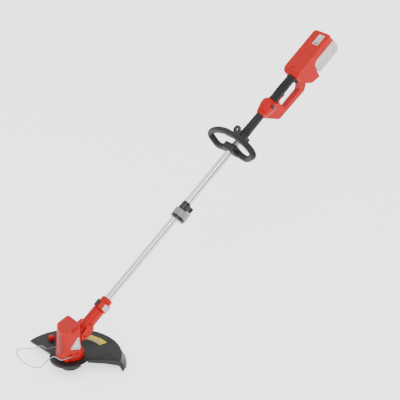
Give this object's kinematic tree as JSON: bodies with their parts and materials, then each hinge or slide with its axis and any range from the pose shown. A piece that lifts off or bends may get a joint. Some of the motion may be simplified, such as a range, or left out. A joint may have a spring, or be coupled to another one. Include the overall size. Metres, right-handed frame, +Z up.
{
  "type": "string trimmer",
  "caption": "Cordless string trimmer: slim telescopic shaft at a slant, motor head with half-round debris guard and wire plant guard, loop front handle, rear grip with battery.",
  "frame": {"origin": "lowest point of the spool's tap button, on the spool's axis", "axes": "+Z up along the spool's axis, +X from the cutting head back towards the operator, -Y the operator's left side; the shaft rises at 38 degrees from the ground towards +X"},
  "size_m": [1.3377, 0.3248, 0.9832],
  "materials": {
    "red_plastic": "semi-gloss moulded",
    "black_plastic": "fine-textured moulded",
    "soft_rubber": "matte, ribbed",
    "grey_plastic": "satin moulded",
    "pale_plastic": "satin moulded",
    "tube_aluminium": "drawn and satin anodised",
    "steel": "plated",
    "copper": "wound wire",
    "cutting_line": "extruded nylon",
    "circuit_board": "solder mask"
  },
  "bodies": {
    "handle": {"handle_shell_left": "red_plastic", "handle_shell_right": "red_plastic", "grip_overmould": "soft_rubber", "upper_tube": "tube_aluminium", "shaft_sleeve": "soft_rubber", "strap_clamp": "black_plastic", "strap_clamp_bolt": "black_plastic", "strap_clamp_nut": "steel", "lock_body": "black_plastic", "lock_bolt": "steel", "lock_pin": "steel", "trigger_switch": "black_plastic", "control_board": "circuit_board", "terminal_block": "black_plastic"},
    "trigger": {"trigger": "red_plastic"},
    "lock_off_button": {"lock_off_button": "black_plastic"},
    "battery": {"battery_case": "pale_plastic", "battery_cell_pair_1": "grey_plastic", "battery_cell_pair_2": "grey_plastic", "battery_cell_pair_3": "grey_plastic", "battery_cell_pair_4": "grey_plastic", "battery_cell_pair_5": "grey_plastic"},
    "battery_latch": {"battery_latch": "red_plastic"},
    "loop_handle": {"loop_handle": "black_plastic", "handle_clamp_cap": "black_plastic", "clamp_screw_1": "steel", "clamp_screw_2": "steel"},
    "lock_lever": {"lock_lever": "grey_plastic"},
    "lower_shaft": {"lower_tube": "tube_aluminium", "neck_collar": "red_plastic", "coiled_cable": "black_plastic"},
    "swivel_button": {"swivel_button": "black_plastic"},
    "neck": {"neck_left": "red_plastic", "neck_right": "red_plastic"},
    "head": {"motor_housing_left": "red_plastic", "motor_housing_right": "red_plastic", "motor_can": "steel", "upper_bearing": "steel", "lower_bearing": "steel", "guard": "black_plastic", "guard_screw_1": "steel", "guard_screw_2": "steel", "guard_screw_3": "steel", "guard_screw_4": "steel", "line_cutter": "steel", "cutter_screw_1": "steel", "cutter_screw_2": "steel", "tilt_pin": "steel"},
    "guard_knob": {"guard_knob": "red_plastic"},
    "wire_guard": {"wire_guard": "steel"},
    "spool": {"spool_housing": "black_plastic", "line_eyelet_1": "steel", "line_eyelet_2": "steel", "spool_lid": "black_plastic", "line_reel": "pale_plastic", "line_winding": "cutting_line", "tap_spring": "steel", "motor_shaft": "steel", "motor_rotor": "copper"},
    "tap_button": {"tap_button": "black_plastic"}
  },
  "joints": [
    {"name": "trigger_squeeze", "type": "hinge", "parent": "handle", "child": "trigger", "pos_m": [0.89047, 0, 0.77764], "axis": [0, -1, 0], "range_deg": [0, 6], "stiffness_Nm_per_rad": 1.2, "springref_deg": -3.44},
    {"name": "lock_off_press", "type": "slide", "parent": "handle", "child": "lock_off_button", "axis": [0, 1, 0], "range_m": [0, 0.003], "stiffness_N_per_m": 600, "springref_m": -0.001},
    {"name": "battery_slide", "type": "slide", "parent": "handle", "child": "battery", "axis": [0.788, 0, 0.6157], "range_m": [0, 0.14]},
    {"name": "battery_latch_press", "type": "slide", "parent": "battery", "child": "battery_latch", "axis": [0.6157, 0, -0.788], "range_m": [0, 0.0022], "stiffness_N_per_m": 800, "springref_m": -0.001},
    {"name": "front_handle_slide", "type": "slide", "parent": "handle", "child": "loop_handle", "axis": [0.788, 0, 0.6157], "range_m": [-0.12, 0]},
    {"name": "lock_lever_turn", "type": "hinge", "parent": "handle", "child": "lock_lever", "pos_m": [0.47543, -0.01471, 0.42267], "axis": [0.788, 0, 0.6157], "range_deg": [0, 100]},
    {"name": "shaft_telescope", "type": "slide", "parent": "handle", "child": "lower_shaft", "axis": [0.788, 0, 0.6157], "range_m": [0, 0.25]},
    {"name": "swivel_button_press", "type": "slide", "parent": "lower_shaft", "child": "swivel_button", "axis": [0.6157, 0, -0.788], "range_m": [0, 0.0025], "stiffness_N_per_m": 800, "springref_m": -0.001},
    {"name": "head_swivel", "type": "hinge", "parent": "lower_shaft", "child": "neck", "pos_m": [0.12529, 0, 0.18489], "axis": [0.788, 0, 0.6157], "range_deg": [0, 180]},
    {"name": "head_tilt", "type": "hinge", "parent": "neck", "child": "head", "pos_m": [0.04413, 0, 0.12148], "axis": [0, 1, 0], "range_deg": [-25, 5]},
    {"name": "guard_knob_turn", "type": "hinge", "parent": "head", "child": "guard_knob", "pos_m": [0.00216, 0.12398, 0.0463], "axis": [0, 0, 1], "range_deg": [0, 360]},
    {"name": "wire_guard_flip", "type": "hinge", "parent": "head", "child": "wire_guard", "pos_m": [-0.014, 0, 0.069], "axis": [0, 1, 0], "range_deg": [0, 95]},
    {"name": "spool_spin", "type": "hinge", "parent": "head", "child": "spool", "pos_m": [0, 0, 0.02], "axis": [0, 0, 1], "continuous": true},
    {"name": "tap_press", "type": "slide", "parent": "spool", "child": "tap_button", "axis": [0, 0, 1], "range_m": [0, 0.006], "stiffness_N_per_m": 2500, "springref_m": -0.002, "deforming": ["tap_spring"]}
  ]
}
